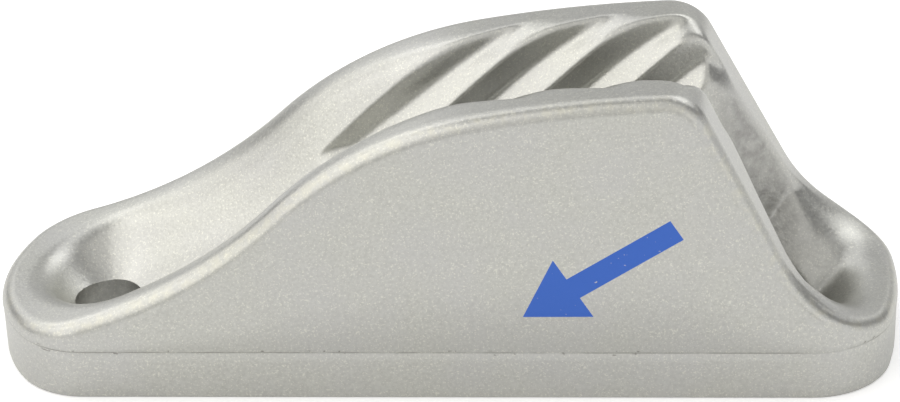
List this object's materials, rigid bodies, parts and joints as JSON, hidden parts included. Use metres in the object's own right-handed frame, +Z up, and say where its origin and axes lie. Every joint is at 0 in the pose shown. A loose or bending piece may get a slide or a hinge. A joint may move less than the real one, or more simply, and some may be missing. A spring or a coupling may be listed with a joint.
{
  "type": "jam cleat",
  "caption": "One-piece cast aluminium jam cleat: a fluted V channel grips a rope led up a ramp, and a screw hole in the dish at each end fixes it to a deck.",
  "frame": {"origin": "centre of the flat underside", "axes": "+X along the rope channel towards the steep nose end, +Y across the channel, +Z up from the base"},
  "size_m": [0.0666, 0.0182, 0.0246],
  "materials": {
    "satin_aluminium": "satin, bead-blasted and clear anodised"
  },
  "bodies": {
    "root": {"cleat_body": "satin_aluminium"}
  },
  "joints": []
}
